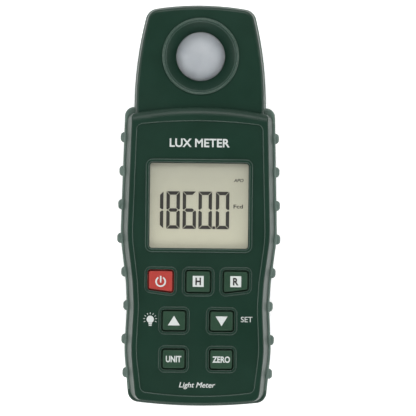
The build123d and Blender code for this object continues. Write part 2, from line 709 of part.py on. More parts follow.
def snap_domes():
    """Metal snap domes on the board, one under each key."""
    radius = (SNAP_RADIUS**2 + SNAP_HEIGHT**2) / (2 * SNAP_HEIGHT)
    domes = []
    for x, y in KEY_PLACES.values():
        ball = Pos(x, y, BOARD_TOP + SNAP_HEIGHT - radius) * Sphere(radius)
        above = rod(SNAP_RADIUS + BEYOND, BOARD_TOP, BOARD_TOP + SNAP_HEIGHT + BEYOND, x, y)
        domes.append(ball & above)
    return domes


def spacer_sheet():
    """Silicone sheet on the board that keeps dust off the snap domes."""
    top = TAIL + TOP_ROW + SHEET_MARGIN
    bottom = TAIL + BOTTOM_ROW - SHEET_MARGIN
    sheet = plate(
        SHEET_WIDTH, top - bottom, BOARD_TOP, BOARD_TOP + SHEET,
        y=(top + bottom) / 2, corner=SHEET_CORNER,
    )
    for x, y in KEY_PLACES.values():
        sheet -= rod(SNAP_RADIUS + SHEET_HOLE, BOARD_TOP, BOARD_TOP + SHEET, x, y)
    return sheet


def main_board():
    """Circuit board, notched round the case's posts."""
    board = plate(
        BOARD_WIDTH, BOARD_END - BOARD_START, BOARD_BOTTOM, BOARD_TOP,
        y=(BOARD_START + BOARD_END) / 2, corner=BOARD_CORNER,
    )
    for x, y in BODY_POSTS:
        board -= rod(POST_RADIUS + BOARD_NOTCH, BOARD_BOTTOM, BOARD_TOP, x, y)
    for x, y in BOARD_SCREWS:
        board -= rod(BOARD_SCREW + BOARD_SCREW_GAP, BOARD_BOTTOM, BOARD_TOP, x, y)
    return board


def board_components():
    """Parts soldered to the back of the board, by node name."""
    parts = {}
    for name, (width, length, height, x, y) in CHIPS.items():
        bottom = BOARD_BOTTOM - height
        parts[name] = plate(width, length, bottom, BOARD_BOTTOM, x, DISPLAY_Y + y)
    radius, height, x, y = BUZZER
    parts["buzzer"] = rod(radius, BOARD_BOTTOM - height, BOARD_BOTTOM, x, DISPLAY_Y + y)
    radius, height, x = CAPACITOR
    parts["capacitors"] = [
        rod(radius, BOARD_BOTTOM - height, BOARD_BOTTOM, x, DISPLAY_Y + y)
        for y in CAPACITOR_PLACES
    ]
    return parts


# ================================================================ sensor
def revolved(points, y):
    """Ring or disc from a profile of (radius, height) points, about an upright axis at y."""
    profile = Plane.XZ * make_face(Polyline(*points, close=True))
    return Pos(0, y) * revolve(profile, Axis.Z)


def dome_bezel():
    """Ring round the dome: a raised bead outside and a funnel down to the dome's rim."""
    top = HEAD_FACE + BEAD_HEIGHT
    inside = BEAD_RADIUS - BEAD_WIDTH
    points = [
        (BEAD_RADIUS, HEAD_FACE),
        (BEAD_RADIUS, top - BEAD_CHAMFER),
        (BEAD_RADIUS - BEAD_CHAMFER, top),
        (inside + BEAD_INNER_CHAMFER, top),
        (inside, top - BEAD_INNER_CHAMFER),
        (DOME_RADIUS + FIT, RIM),
        (DOME_RADIUS + FIT, RIM - BEZEL_FOOT),
        (BEZEL_SLEEVE, RIM - BEZEL_FOOT),
        (BEZEL_SLEEVE, HEAD_FACE),
    ]
    return revolved(points, DOME_Y)


def diffuser_dome():
    """Frosted cap over the cell, with a skirt and a flange that the bezel holds down."""
    outer = (DOME_RADIUS**2 + DOME_RISE**2) / (2 * DOME_RISE)
    centre = RIM + DOME_RISE - outer
    ball = Pos(0, DOME_Y, centre) * (Sphere(outer) - Sphere(outer - DOME_WALL))
    dome = ball & rod(DOME_RADIUS + BEYOND, RIM, RIM + DOME_RISE + BEYOND, 0, DOME_Y)
    inner = DOME_RADIUS - DOME_WALL - DOME_SKIRT
    flange = RIM - BEZEL_FOOT
    dome += tube(DOME_RADIUS, inner, flange, RIM + DOME_SKIRT, 0, DOME_Y)
    return dome + tube(CUP_RADIUS, inner, CUP_TOP, flange, 0, DOME_Y)


def sensor_cup():
    """Dark housing under the dome that keeps stray light off the photodiode."""
    cup = tube(CUP_RADIUS, CUP_RADIUS - CUP_WALL, SENSOR_BOARD_TOP, CUP_TOP, 0, DOME_Y)
    return cup + tube(CUP_RADIUS - CUP_WALL / 2, CUP_HOLE, SHELF, SHELF + CUP_SHELF, 0, DOME_Y)


def light_filter():
    """Glass that gives the photodiode the eye's response to colour."""
    bottom = SHELF + CUP_SHELF
    return rod(CUP_RADIUS - CUP_WALL - FIT, bottom, bottom + FILTER_HEIGHT, 0, DOME_Y)


def photodiode():
    top = SENSOR_BOARD_TOP + DIODE_HEIGHT
    return rod(DIODE_RADIUS, SENSOR_BOARD_TOP, top, 0, DOME_Y)


def sensor_board():
    """Small board that closes the cup from below."""
    width, length, thickness = SENSOR_BOARD
    bottom = SENSOR_BOARD_TOP - thickness
    return plate(
        width, length, bottom, SENSOR_BOARD_TOP, 0, DOME_Y, corner=SENSOR_BOARD_CORNER
    )


def sensor_ribbon():
    """Flat cable from the sensor board down the back of the head to the main board."""
    edge = DOME_Y - SENSOR_BOARD[1] / 2
    low = SENSOR_BOARD_TOP - SENSOR_BOARD[2]
    upper_bend, lower_bend = RIBBON_BENDS
    points = [
        (edge + RIBBON_LAP, low),
        (edge - upper_bend, low),
        (BOARD_END + lower_bend, BOARD_BOTTOM),
        (BOARD_END - RIBBON_REACH, BOARD_BOTTOM),
    ]
    points += [(y, z - RIBBON_THICKNESS) for y, z in reversed(points)]
    profile = Plane.YZ * make_face(Polyline(*points, close=True))
    return Pos(-RIBBON_WIDTH / 2, 0) * extrude(profile, RIBBON_WIDTH, dir=(1, 0, 0))


# ================================================================ fixings and small parts
def cross_slot(radius, bottom, top, x, y):
    length = SLOT_LENGTH * radius
    width = SLOT_WIDTH * radius
    arms = Rectangle(length, width) + Rectangle(width, length)
    return prism(Pos(x, y) * arms, bottom, top)


def screw(x, y, seat, end, shank, head, height):
    """Pan head screw driven upwards, with a cross slot in its head."""
    body = rod(head, seat - height, seat, x, y) + rod(shank, seat, end, x, y)
    return body - cross_slot(head, seat - height, seat - height / 2, x, y)


def case_screws():
    """Six screws: four into the front case, two into the head cover."""
    size = (SCREW_SHANK, SCREW_HEAD, SCREW_HEAD_HEIGHT)
    front_end = CEILING - BLIND - THREAD_END
    head_end = HEAD_FACE - WALL - THREAD_END
    screws = [screw(x, y, BODY_SEAT, front_end, *size) for x, y in BODY_POSTS]
    return screws + [screw(x, y, HEAD_SEAT, head_end, *size) for x, y in HEAD_POSTS]


def board_screws():
    size = (BOARD_SCREW, BOARD_SCREW_HEAD, BOARD_SCREW_HEAD_HEIGHT)
    end = CEILING - BLIND - THREAD_END / 2
    return [screw(x, y, BOARD_BOTTOM, end, *size) for x, y in BOARD_SCREWS]


def tripod_insert():
    """Brass bush with a camera thread, moulded into the back."""
    return tube(TRIPOD_INSERT, TRIPOD_THREAD, 0, TRIPOD_DEPTH, 0, TRIPOD_Y)


def back_label():
    width, height, thickness = LABEL
    return plate(width, height, LABEL_SINK, LABEL_SINK + thickness, y=LABEL_Y, corner=LABEL_CORNER)


# ================================================================ assembly
def nodes():
    """Every piece, or list of equal pieces, by node name."""
    right_grip = grip()
    parts = {
        "front_case": front_case(),
        "rear_case": rear_case(),
        "head_cover": head_cover(),
        "grip_right": right_grip,
        "grip_left": mirror(right_grip, Plane.YZ),
        "dome_bezel": dome_bezel(),
        "diffuser_dome": diffuser_dome(),
        "sensor_cup": sensor_cup(),
        "light_filter": light_filter(),
        "photodiode": photodiode(),
        "sensor_board": sensor_board(),
        "sensor_ribbon": sensor_ribbon(),
        "display_window": display_window(),
        "display_glass": display_glass(),
        "display_holder": display_holder(),
        "contact_strips": contact_strips(),
        "backlight": backlight(),
        "main_board": main_board(),
        "spacer_sheet": spacer_sheet(),
        "snap_domes": snap_domes(),
        "battery": battery(),
        "contact_block": contact_block(),
        "battery_leads": battery_leads(),
        "battery_door": battery_door(),
        "case_screws": case_screws(),
        "board_screws": board_screws(),
        "tripod_insert": tripod_insert(),
        "back_label": back_label(),
    }
    parts.update(board_components())
    parts.update({"key_" + name: key(name) for name in KEY_PLACES})
    return parts


def write():
    os.makedirs("parts", exist_ok=True)
    for name, shape in nodes().items():
        solids = []
        for piece in shape if isinstance(shape, list) else [shape]:
            solids += piece.solids()
        node = Compound(children=solids) if len(solids) > 1 else solids[0]
        export_step(node, f"parts/{name}.step")


write()
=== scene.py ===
import bpy
import bmesh
import math
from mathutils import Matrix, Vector


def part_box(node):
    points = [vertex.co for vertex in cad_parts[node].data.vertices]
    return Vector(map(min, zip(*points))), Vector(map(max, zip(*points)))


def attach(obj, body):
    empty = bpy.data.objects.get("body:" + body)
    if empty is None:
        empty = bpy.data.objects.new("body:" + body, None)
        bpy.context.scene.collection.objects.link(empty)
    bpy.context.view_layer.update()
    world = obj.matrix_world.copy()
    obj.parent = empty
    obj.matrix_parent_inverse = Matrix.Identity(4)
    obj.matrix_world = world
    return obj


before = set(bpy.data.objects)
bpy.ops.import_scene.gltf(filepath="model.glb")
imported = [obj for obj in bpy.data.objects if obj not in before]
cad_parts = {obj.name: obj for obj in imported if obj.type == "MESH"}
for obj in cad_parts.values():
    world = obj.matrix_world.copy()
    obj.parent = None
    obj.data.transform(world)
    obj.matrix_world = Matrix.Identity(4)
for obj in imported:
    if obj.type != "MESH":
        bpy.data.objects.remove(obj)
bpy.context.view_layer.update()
MM = 0.001


# ---------------------------------------------------------------------------------------------
# Case mouldings: front case, rear case, head cover, battery door and the bezel round the dome.
# All are one dark green ABS, injection moulded in a tool with a fine spark-eroded grain, and
# screwed together from behind. The edges that a hand rubs have gone smoother; their paler colour
# is partly wear and partly painted highlight, and the rear case's rim has a painted reflection.
# ---------------------------------------------------------------------------------------------
class Wire:
    """A shader socket that can be used in sums; each sum adds its Math node."""

    def __init__(self, finish, socket):
        self.finish = finish
        self.socket = socket

    def sum_with(self, operation, first, second):
        return self.finish.node("ShaderNodeMath", {"operation": operation}, {0: first, 1: second})

    def __add__(self, other):
        return self.sum_with("ADD", self, other)

    def __radd__(self, other):
        return self.sum_with("ADD", other, self)

    def __sub__(self, other):
        return self.sum_with("SUBTRACT", self, other)

    def __rsub__(self, other):
        return self.sum_with("SUBTRACT", other, self)

    def __mul__(self, other):
        return self.sum_with("MULTIPLY", self, other)

    def __rmul__(self, other):
        return self.sum_with("MULTIPLY", other, self)


class Finish:
    """A material being mixed: one Principled shader, with constants set on its own sockets."""

    def __init__(self, name, **constants):
        self.material = bpy.data.materials.new(name)
        self.material.use_nodes = True
        self.tree = self.material.node_tree
        self.shader = self.tree.nodes["Principled BSDF"]
        for socket, value in constants.items():
            self.shader.inputs[socket.replace("_", " ")].default_value = value

    def node(self, kind, settings=None, sockets=None, out=0):
        """Adds a node: its settings first, then values or wires into its sockets."""
        made = self.tree.nodes.new(kind)
        for setting, value in (settings or {}).items():
            setattr(made, setting, value)
        for socket, value in (sockets or {}).items():
            self.feed(made.inputs[socket], value)
        return Wire(self, made.outputs[out])

    def feed(self, target, value):
        if isinstance(value, Wire):
            self.tree.links.new(value.socket, target)
        else:
            target.default_value = value

    def set(self, **sockets):
        for socket, value in sockets.items():
            self.feed(self.shader.inputs[socket.replace("_", " ")], value)

    def place(self):
        return self.node("ShaderNodeTexCoord", out="Object")

    def noise(self, scale, detail=2.0, roughness=0.5, at=None):
        sockets = {"Vector": at or self.place(), "Scale": scale, "Detail": detail,
                   "Roughness": roughness}
        return self.node("ShaderNodeTexNoise", None, sockets)

    def spread(self, value, low, high, new_low=0.0, new_high=1.0):
        """Stretches the stretch from low to high over new_low to new_high, and stops there."""
        sockets = {0: value, 1: low, 2: high, 3: new_low, 4: new_high}
        return self.node("ShaderNodeMapRange", {"clamp": True}, sockets)

    def blend(self, share, first, second):
        sockets = {"Factor": share, "A": first, "B": second}
        return self.node("ShaderNodeMix", {"data_type": "RGBA"}, sockets, out=2)

    def bump(self, height, strength, distance, normal=None):
        sockets = {"Height": height, "Strength": strength, "Distance": distance}
        if normal:
            sockets["Normal"] = normal
        return self.node("ShaderNodeBump", None, sockets)

    def rounded(self, radius):
        """Normal that softens hard edges as a moulding's small radii do."""
        return self.node("ShaderNodeBevel", {"samples": 6}, {"Radius": radius})


def srgb(red, green, blue):
    """A colour given in everyday 0 to 255 steps, as the linear colour that shaders take."""
    def linear(step):
        value = step / 255
        return value / 12.92 if value <= 0.04045 else ((value + 0.055) / 1.055) ** 2.4
    return (linear(red), linear(green), linear(blue), 1.0)


def darkened(colour, share):
    """The same colour, with only a share of its light."""
    return tuple(share * channel for channel in colour[:3]) + (1.0,)


FLAT_TURN, EDGE_TURN = 0.995, 0.90     # cosines between the softened and the true normal


# Edge mask: the paler edges it feeds are partly wear and partly painted highlight.
def scuff_and_highlight_edges(finish, radius):
    """1 along outer edges, 0 on flats: how far a softened normal turns from the true one."""
    true = finish.node("ShaderNodeNewGeometry", out="Normal")
    turned = finish.node(
        "ShaderNodeVectorMath", {"operation": "DOT_PRODUCT"},
        {0: finish.rounded(radius), 1: true}, out="Value",
    )
    return finish.spread(turned, FLAT_TURN, EDGE_TURN)


CASE_GREEN = srgb(15, 42, 31)
CASE_GREEN_PALE = srgb(21, 49, 38)
# paler edge colour: partly wear, partly painted highlight
SCUFF_AND_HIGHLIGHT_GREEN = srgb(112, 131, 122)
RIM_REFLECTION_ALONG = (-88 * MM, -50 * MM)    # the rim's painted reflection grows from the tail up to the waist
CASE_GRAIN = 0.35 * MM
CASE_GRAIN_DEPTH = 0.04 * MM
CASE_ROUGHNESS = 0.38
POLISH = 0.06                          # how far handling, edges and grain move the roughness


# rub: share of the paler edge colour, which is partly wear and partly painted highlight
def moulded(name, rub, edge_radius, rim=None):
    """Grained moulding: two mottled shades, paler edges that are partly abrasion from handling
    and partly painted highlight, and the tool's fine grain. A rim is two heights: from one to the
    other the moulding gets a painted reflection, paler and paler, but not towards the tail."""
    finish = Finish(name, IOR=1.46, Specular_IOR_Level=0.28)
    place = finish.place()
    mottle = finish.spread(finish.noise(70.0, 3.0, 0.6, place), 0.35, 0.65)
    handled = finish.spread(finish.noise(22.0, 4.0, 0.55, place), 0.40, 0.70)
    scuff_and_painted_light = scuff_and_highlight_edges(finish, edge_radius)
    if rim:
        along, height = [
            finish.node("ShaderNodeSeparateXYZ", None, {0: place}, out=axis) for axis in "YZ"
        ]
        # painted reflection: the rear case's rim is blended paler towards the seam, more above
        # the waist
        painted_rim_reflection = finish.spread(height, *rim) * finish.spread(along, *RIM_REFLECTION_ALONG, 0.1, 0.65)
        scuff_and_painted_light = finish.node("ShaderNodeMath", {"operation": "MAXIMUM"}, {0: scuff_and_painted_light, 1: painted_rim_reflection})
    body = finish.blend(mottle * 0.45, CASE_GREEN, CASE_GREEN_PALE)
    grain = finish.noise(1.0 / CASE_GRAIN, 3.0, 0.65, place)
    finish.set(
        # paler edges and rim: partly wear, partly painted highlight and painted reflection
        Base_Color=finish.blend(scuff_and_painted_light * rub, body, SCUFF_AND_HIGHLIGHT_GREEN),
        Roughness=CASE_ROUGHNESS - POLISH * handled - POLISH * scuff_and_painted_light + POLISH * grain,
        Normal=finish.bump(grain, 0.25, CASE_GRAIN_DEPTH, finish.rounded(edge_radius)),
    )
    return finish


def dress(node, finish):
    """Gives a carried-over node its finish."""
    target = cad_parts[node]
    target.data.materials.clear()
    target.data.materials.append(finish.material)


case_finish = moulded("case green", 0.40, 0.5 * MM)
# strong pale edges for the bezel: the bead's bright rim is painted highlight, with some edge wear
bezel_scuff_and_highlight_finish = moulded("case green, scuffed edges, painted highlight", 0.75, 0.9 * MM)
# rear case: its rim gets a painted reflection, paler towards the seam
rear_finish = moulded("rear case green", 0.85, 0.9 * MM, rim=(19.0 * MM, 25.8 * MM))
for node in ("front_case", "head_cover", "battery_door"):
    dress(node, case_finish)
dress("rear_case", rear_finish)
dress("dome_bezel", bezel_scuff_and_highlight_finish)


# ---------------------------------------------------------------------------------------------
# Side grips: soft rubber moulded into the flanks of the rear case, one strip a side with a row
# of nubs. The rubber is paler and duller than the case and picks up dust between the nubs.
# ---------------------------------------------------------------------------------------------
RUBBER_EDGE = 0.8 * MM
RUBBER_ROUNDING = 0.3 * MM
RUBBER_GRAIN_DEPTH = 0.04 * MM
GRIP_GRAIN = 0.25 * MM


def rubber(name, colour, dusty, grain_size):
    """Soft rubber: powdery mottling, paler edges that are partly abrasion and partly painted
    highlight, and a close, low grain.
    """
    finish = Finish(
        name, IOR=1.45, Specular_IOR_Level=0.38, Sheen_Weight=0.02, Sheen_Roughness=0.5
    )
    place = finish.place()
    dust = finish.spread(finish.noise(160.0, 4.0, 0.7, place), 0.35, 0.75)
    scuff_and_painted_light = scuff_and_highlight_edges(finish, RUBBER_EDGE)
    grain = finish.noise(1.0 / grain_size, 2.0, 0.6, place)
    finish.set(
        # paler edges: partly wear, partly painted highlight
        Base_Color=finish.blend(0.5 * dust + 0.3 * scuff_and_painted_light, colour, dusty),
        Roughness=0.52 + 0.12 * dust - 0.08 * scuff_and_painted_light,
        Normal=finish.bump(grain, 0.35, RUBBER_GRAIN_DEPTH, finish.rounded(RUBBER_ROUNDING)),
    )
    return finish


grip_finish = rubber("grip rubber", srgb(68, 86, 78), srgb(110, 126, 119), GRIP_GRAIN)
for node in ("grip_left", "grip_right"):
    dress(node, grip_finish)


# ---------------------------------------------------------------------------------------------
# Sensor: a frosted opal cap over the photodiode, clamped in a dark cup by the bezel. Light
# scatters a little way into the opal before it comes back.
# ---------------------------------------------------------------------------------------------
FROST = 9000.0                         # pits of the frosting to the metre
FROST_DEPTH = 0.03 * MM


def opal(name):
    """Milky acrylic with faint clouds in it and a sandblasted skin."""
    finish = Finish(
        name, IOR=1.49, Subsurface_Weight=0.8, Subsurface_Scale=5.0 * MM,
        Subsurface_Radius=(1.0, 1.0, 1.0), Coat_Weight=0.06, Coat_Roughness=0.35,
    )
    place = finish.place()
    cloud = finish.spread(finish.noise(90.0, 3.0, 0.5, place), 0.3, 0.7)
    frost = finish.noise(FROST, 2.0, 0.6, place)
    finish.set(
        Base_Color=finish.blend(cloud, srgb(150, 155, 160), srgb(160, 164, 168)),
        Roughness=0.42 + 0.10 * frost,
        Normal=finish.bump(frost, 0.25, FROST_DEPTH),
    )
    return finish


dress("diffuser_dome", opal("frosted opal"))


def plain_moulding(name, colour, roughness, bump=0.2):
    """Small inner mouldings and sleeves: one colour with faint flow marks."""
    finish = Finish(name)
    flow = finish.noise(240.0, 3.0, 0.6)
    finish.set(
        Base_Color=finish.blend(finish.spread(flow, 0.3, 0.7), darkened(colour, 0.72), colour),
        Roughness=roughness + 0.12 * flow,
        Normal=finish.bump(finish.noise(2600.0, 2.0), bump, 0.03 * MM),
    )
    return finish


dark_finish = plain_moulding("dark moulding", srgb(34, 35, 36), 0.5)
for node in ("sensor_cup", "contact_block", "display_holder"):
    dress(node, dark_finish)


# ---------------------------------------------------------------------------------------------
# Display: a reflective liquid crystal cell behind a clear window. The cell's back is a warm
# grey-green foil; the lit segments are dark and lie a hair above it.
# ---------------------------------------------------------------------------------------------
def middle(node):
    low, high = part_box(node)
    return (low + high) / 2


display_centre = middle("display_window")
cell_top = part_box("display_glass")[1].z
CELL_PAINTED_SHADE = 20.0 * MM                # from the middle of the cell to where its painted shade gradient ends


def cell_finish():
    """The cell's foil: warm grey, with painted shade that makes it a touch greener and darker
    towards the top.
    """
    finish = Finish("display foil", IOR=1.5, Coat_Weight=0.8, Coat_Roughness=0.05)
    place = finish.place()
    along = finish.node("ShaderNodeSeparateXYZ", None, {0: place}, out="Y")
    # painted shade: the cell darkens towards the top
    top = finish.spread(along, display_centre.y - CELL_PAINTED_SHADE, display_centre.y + CELL_PAINTED_SHADE)
    fleck = finish.noise(5200.0, 2.0, 0.5, place)
    base = finish.blend(top, srgb(183, 181, 160), srgb(157, 157, 141))
    fibre = finish.spread(fleck, 0.35, 0.65)
    finish.set(
        Base_Color=finish.blend(fibre * 0.25, base, srgb(156, 156, 139)),
        Roughness=0.42 + 0.1 * fleck,
    )
    return finish


dress("display_glass", cell_finish())


def ink(name, colour, roughness=0.55):
    """Printing ink, a little uneven where the screen laid it down."""
    finish = Finish(name)
    weave = finish.noise(4200.0, 2.0, 0.5)
    finish.set(
        Base_Color=finish.blend(finish.spread(weave, 0.3, 0.7), darkened(colour, 0.86), colour),
        Roughness=roughness + 0.1 * weave,
        Normal=finish.bump(weave, 0.15, 0.02 * MM),
    )
    return finish


def surface_patch(name, outlines, height, thickness, finish, body):
    """Flat pieces with a thickness, one for each closed outline of (x, y) points in metres."""
    mesh = bmesh.new()
    for outline in outlines:
        corners = [mesh.verts.new((x, y, height)) for x, y in outline]
        face = mesh.faces.new(corners)
        if face.normal.z > 0:
            face.normal_flip()
        face.normal_update()
    bmesh.ops.recalc_face_normals(mesh, faces=mesh.faces)
    walls = bmesh.ops.extrude_face_region(mesh, geom=mesh.faces[:])
    raised = [item for item in walls["geom"] if isinstance(item, bmesh.types.BMVert)]
    bmesh.ops.translate(mesh, verts=raised, vec=(0, 0, thickness))
    bmesh.ops.recalc_face_normals(mesh, faces=mesh.faces)
    data = bpy.data.meshes.new(name)
    mesh.to_mesh(data)
    mesh.free()
    piece = bpy.data.objects.new(name, data)
    bpy.context.scene.collection.objects.link(piece)
    data.materials.append(finish.material)
    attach(piece, body)


segment_finish = ink("display segments", srgb(26, 24, 21), 0.35)
DIGIT_WIDTH = 6.3 * MM
DIGIT_HEIGHT = 17.5 * MM
STROKE = 1.6 * MM
SEGMENT_GAP = 0.16 * MM
SEGMENT_THICKNESS = 0.05 * MM
ABOVE_CELL = 0.02 * MM
DIGITS_BELOW_MIDDLE = 2.1 * MM
DIGITS = (("1", -19.8), ("8", -12.1), ("6", -4.5), ("0", 2.9), ("0", 11.0))  # and mm across
POINT_ACROSS = 6.95 * MM
POINT = 1.3 * MM
LIT = {"0": "abcdef", "1": "bc", "6": "acdefg", "8": "abcdefg"}


def segment(letter):
    """Outline of one bar of a digit about the digit's middle. Its ends are mitred."""
    half = DIGIT_WIDTH / 2
    tall = DIGIT_HEIGHT / 2
    gap = SEGMENT_GAP
    thick = STROKE
    flat = [
        (-half + gap, 0), (half - gap, 0),
        (half - gap - thick, -thick), (-half + gap + thick, -thick),
    ]
    bar = [
        (-half + gap + thick / 2, 0), (-half + gap + thick, thick / 2),
        (half - gap - thick, thick / 2), (half - gap - thick / 2, 0),
        (half - gap - thick, -thick / 2), (-half + gap + thick, -thick / 2),
    ]
    upright = [
        (half, tall - gap), (half, thick / 4 + gap), (half - thick / 3, gap),
        (half - thick, thick / 2 + gap), (half - thick, tall - thick - gap),
    ]
    shapes = {
        "a": [(x, y + tall) for x, y in flat],
        "d": [(x, -y - tall) for x, y in flat],
        "g": bar,
        "b": upright,
        "c": [(x, -y) for x, y in upright],
        "e": [(-x, -y) for x, y in upright],
        "f": [(-x, y) for x, y in upright],
    }
    return shapes[letter]


def shown_value():
    """The reading, digit by digit, and then its point."""
    shapes = []
    middle_y = display_centre.y - DIGITS_BELOW_MIDDLE
    for digit, across in DIGITS:
        for letter in LIT[digit]:
            shapes.append([(x + across * MM, y + middle_y) for x, y in segment(letter)])
    foot = middle_y - DIGIT_HEIGHT / 2
    shapes.append([
        (POINT_ACROSS - POINT / 2, foot), (POINT_ACROSS + POINT / 2, foot),
        (POINT_ACROSS + POINT / 2, foot + POINT), (POINT_ACROSS - POINT / 2, foot + POINT),
    ])
    return shapes


surface_patch("reading", shown_value(), cell_top + ABOVE_CELL, SEGMENT_THICKNESS,
              segment_finish, "case")


def window_finish():
    """Clear acrylic, seen mostly by what it reflects, with a few fine rubs."""
    finish = Finish("clear window", IOR=1.49, Roughness=0.06)
    rub = finish.spread(finish.noise(130.0, 5.0, 0.7), 0.45, 0.8)
    finish.set(
        Base_Color=finish.blend(rub, srgb(225, 226, 214), srgb(240, 240, 232)),
        Roughness=0.05 + 0.12 * rub,
        Alpha=0.01 + 0.02 * rub,
    )
    return finish


dress("display_window", window_finish())


# ---------------------------------------------------------------------------------------------
# Lettering: printed on the panel and on the display's cell in plain block type. The panel's
# ink is pale, and lies just proud of the window.
# ---------------------------------------------------------------------------------------------
print_finish = ink("pale print", srgb(192, 197, 195))
INK_THICKNESS = 0.03 * MM
PANEL_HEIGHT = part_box("display_window")[1].z + 0.2 * MM
TAILS = "gpqy"                         # letters that hang below the line
TYPE_CAPITAL = 0.70                    # height of a capital in the typeface's own units


def lettering(name, text, finish, x, y, height, cap_height, width, body="case",
              slant=0.0, weight=0.0):
    """Printed words centred on (x, y), with capitals of a given height and an overall width."""
    curve = bpy.data.curves.new(name, "FONT")
    curve.body = text
    curve.shear = slant
    curve.extrude = 0.01
    curve.bevel_depth = weight
    curve.resolution_u = 6
    draft = bpy.data.objects.new(name, curve)
    bpy.context.scene.collection.objects.link(draft)
    bpy.context.view_layer.update()
    data = bpy.data.meshes.new_from_object(draft)
    bpy.data.objects.remove(draft)
    lows = [min(vertex.co[axis] for vertex in data.vertices) for axis in (0, 1, 2)]
    highs = [max(vertex.co[axis] for vertex in data.vertices) for axis in (0, 1, 2)]
    has_tail = any(letter in text for letter in TAILS)
    tall = cap_height / (TYPE_CAPITAL if has_tail else highs[1] - lows[1])
    across = width / (highs[0] - lows[0])
    for vertex in data.vertices:
        vertex.co = (
            x + (vertex.co.x - (lows[0] + highs[0]) / 2) * across,
            y + (vertex.co.y - (lows[1] + highs[1]) / 2) * tall,
            height + INK_THICKNESS * (vertex.co.z - lows[2]) / (highs[2] - lows[2]),
        )
    data.materials.clear()
    data.materials.append(finish.material)
    piece = bpy.data.objects.new(name, data)
    bpy.context.scene.collection.objects.link(piece)
    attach(piece, body)


case_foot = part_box("front_case")[0].y
low_key = middle("key_down")
lettering(
    "panel_title", "LUX METER", print_finish, x=0, y=display_centre.y + 29.3 * MM,
    height=PANEL_HEIGHT, cap_height=4.0 * MM, width=28.0 * MM, weight=0.022,
)
lettering(
    "panel_name", "Light Meter", print_finish, x=0, y=case_foot + 9.0 * MM,
    height=PANEL_HEIGHT, cap_height=2.4 * MM, width=17.0 * MM, slant=0.25, weight=0.012,
)
lettering(
    "set_legend", "SET", print_finish, x=low_key.x + 11.7 * MM, y=low_key.y + 0.85 * MM,
    height=PANEL_HEIGHT, cap_height=2.5 * MM, width=5.4 * MM,
)
lettering(
    "auto_off_mark", "APO", segment_finish,
    x=display_centre.x + 18.4 * MM, y=display_centre.y + 12.0 * MM,
    height=cell_top + ABOVE_CELL, cap_height=1.5 * MM, width=4.6 * MM, slant=0.2, weight=0.02,
)
lettering(
    "unit_mark", "Fcd", segment_finish,
    x=display_centre.x + 18.3 * MM, y=display_centre.y - 0.2 * MM,
    height=cell_top + ABOVE_CELL, cap_height=1.8 * MM, width=4.4 * MM, weight=0.02,
)


# ---------------------------------------------------------------------------------------------
# Keys: silicone caps, green but for the red power key, that stand through holes in the panel.
# Each has a sign or a word printed on its crown, and the print goes down with the key.
# ---------------------------------------------------------------------------------------------
KEY_GRAIN = 0.3 * MM
green_key = rubber("green key", srgb(20, 52, 34), srgb(30, 63, 44), KEY_GRAIN)
red_key = rubber("red key", srgb(150, 44, 37), srgb(166, 60, 52), KEY_GRAIN)
for name in ("hold", "range", "up", "down", "unit", "zero"):
    dress("key_" + name, green_key)
dress("key_power", red_key)


def crown(name):
    """Middle of a key's top face."""
    low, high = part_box("key_" + name)
    return Vector(((low.x + high.x) / 2, (low.y + high.y) / 2, high.z))


def ring_outline(x, y, outer, inner, start, end, steps=28):
    """Outline of part of a ring, from one angle to another, in degrees from straight up."""
    turns = [math.radians(start + (end - start) * step / steps) for step in range(steps + 1)]
    outside = [(x + outer * math.sin(turn), y + outer * math.cos(turn)) for turn in turns]
    inside = [(x + inner * math.sin(turn), y + inner * math.cos(turn)) for turn in turns]
    return outside + inside[::-1]


def bar_outline(x, y, width, height):
    return [(x - width / 2, y - height / 2), (x + width / 2, y - height / 2),
            (x + width / 2, y + height / 2), (x - width / 2, y + height / 2)]


def key_sign(name, outlines):
    """Sign printed on a key, from outlines about the middle of its crown."""
    top = crown(name)
    placed = [[(x + top.x, y + top.y) for x, y in outline] for outline in outlines]
    surface_patch("sign_" + name, placed, top.z, INK_THICKNESS, print_finish, "key_" + name)


key_sign("power", [
    ring_outline(0, -0.2 * MM, 2.5 * MM, 1.8 * MM, 30, 330),
    bar_outline(0, 0.9 * MM, 0.7 * MM, 3.1 * MM),
])
ARROW_HALF = 2.8 * MM
ARROW_FOOT = 2.2 * MM
ARROW_TIP = 2.3 * MM
key_sign("up", [[(-ARROW_HALF, -ARROW_FOOT), (ARROW_HALF, -ARROW_FOOT), (0, ARROW_TIP)]])
key_sign("down", [[(-ARROW_HALF, ARROW_FOOT), (0, -ARROW_TIP), (ARROW_HALF, ARROW_FOOT)]])
PLATE = 5.1 * MM                       # pale square with a dark letter on it
PLATE_RAISED = 0.15 * MM               # its middle above the key's middle
for name, letter in (("hold", "H"), ("range", "R")):
    key_sign(name, [bar_outline(0, PLATE_RAISED, PLATE, PLATE)])
    top = crown(name)
    lettering(
        "letter_" + name, letter, segment_finish, x=top.x, y=top.y + PLATE_RAISED,
        height=top.z + INK_THICKNESS, cap_height=3.5 * MM, width=2.6 * MM,
        body="key_" + name, weight=0.035,
    )
for name, width in (("unit", 7.2 * MM), ("zero", 8.2 * MM)):
    top = crown(name)
    lettering(
        "word_" + name, name.upper(), print_finish, x=top.x, y=top.y, height=top.z,
        cap_height=3.0 * MM, width=width, body="key_" + name, weight=0.03,
    )


# ---------------------------------------------------------------------------------------------
# Lamp sign beside the up key: a bulb with nine rays, printed with the panel's other legends.
# ---------------------------------------------------------------------------------------------
SIGN_FROM_KEY = (-11.1 * MM, 0.5 * MM)
BULB_RADIUS = 1.7 * MM
RAYS = 9
RAY_STEP = 28                          # degrees from one ray to the next
RAY_HALF = 0.13 * MM
RAY_NEAR, RAY_FAR = 2.4 * MM, 3.2 * MM


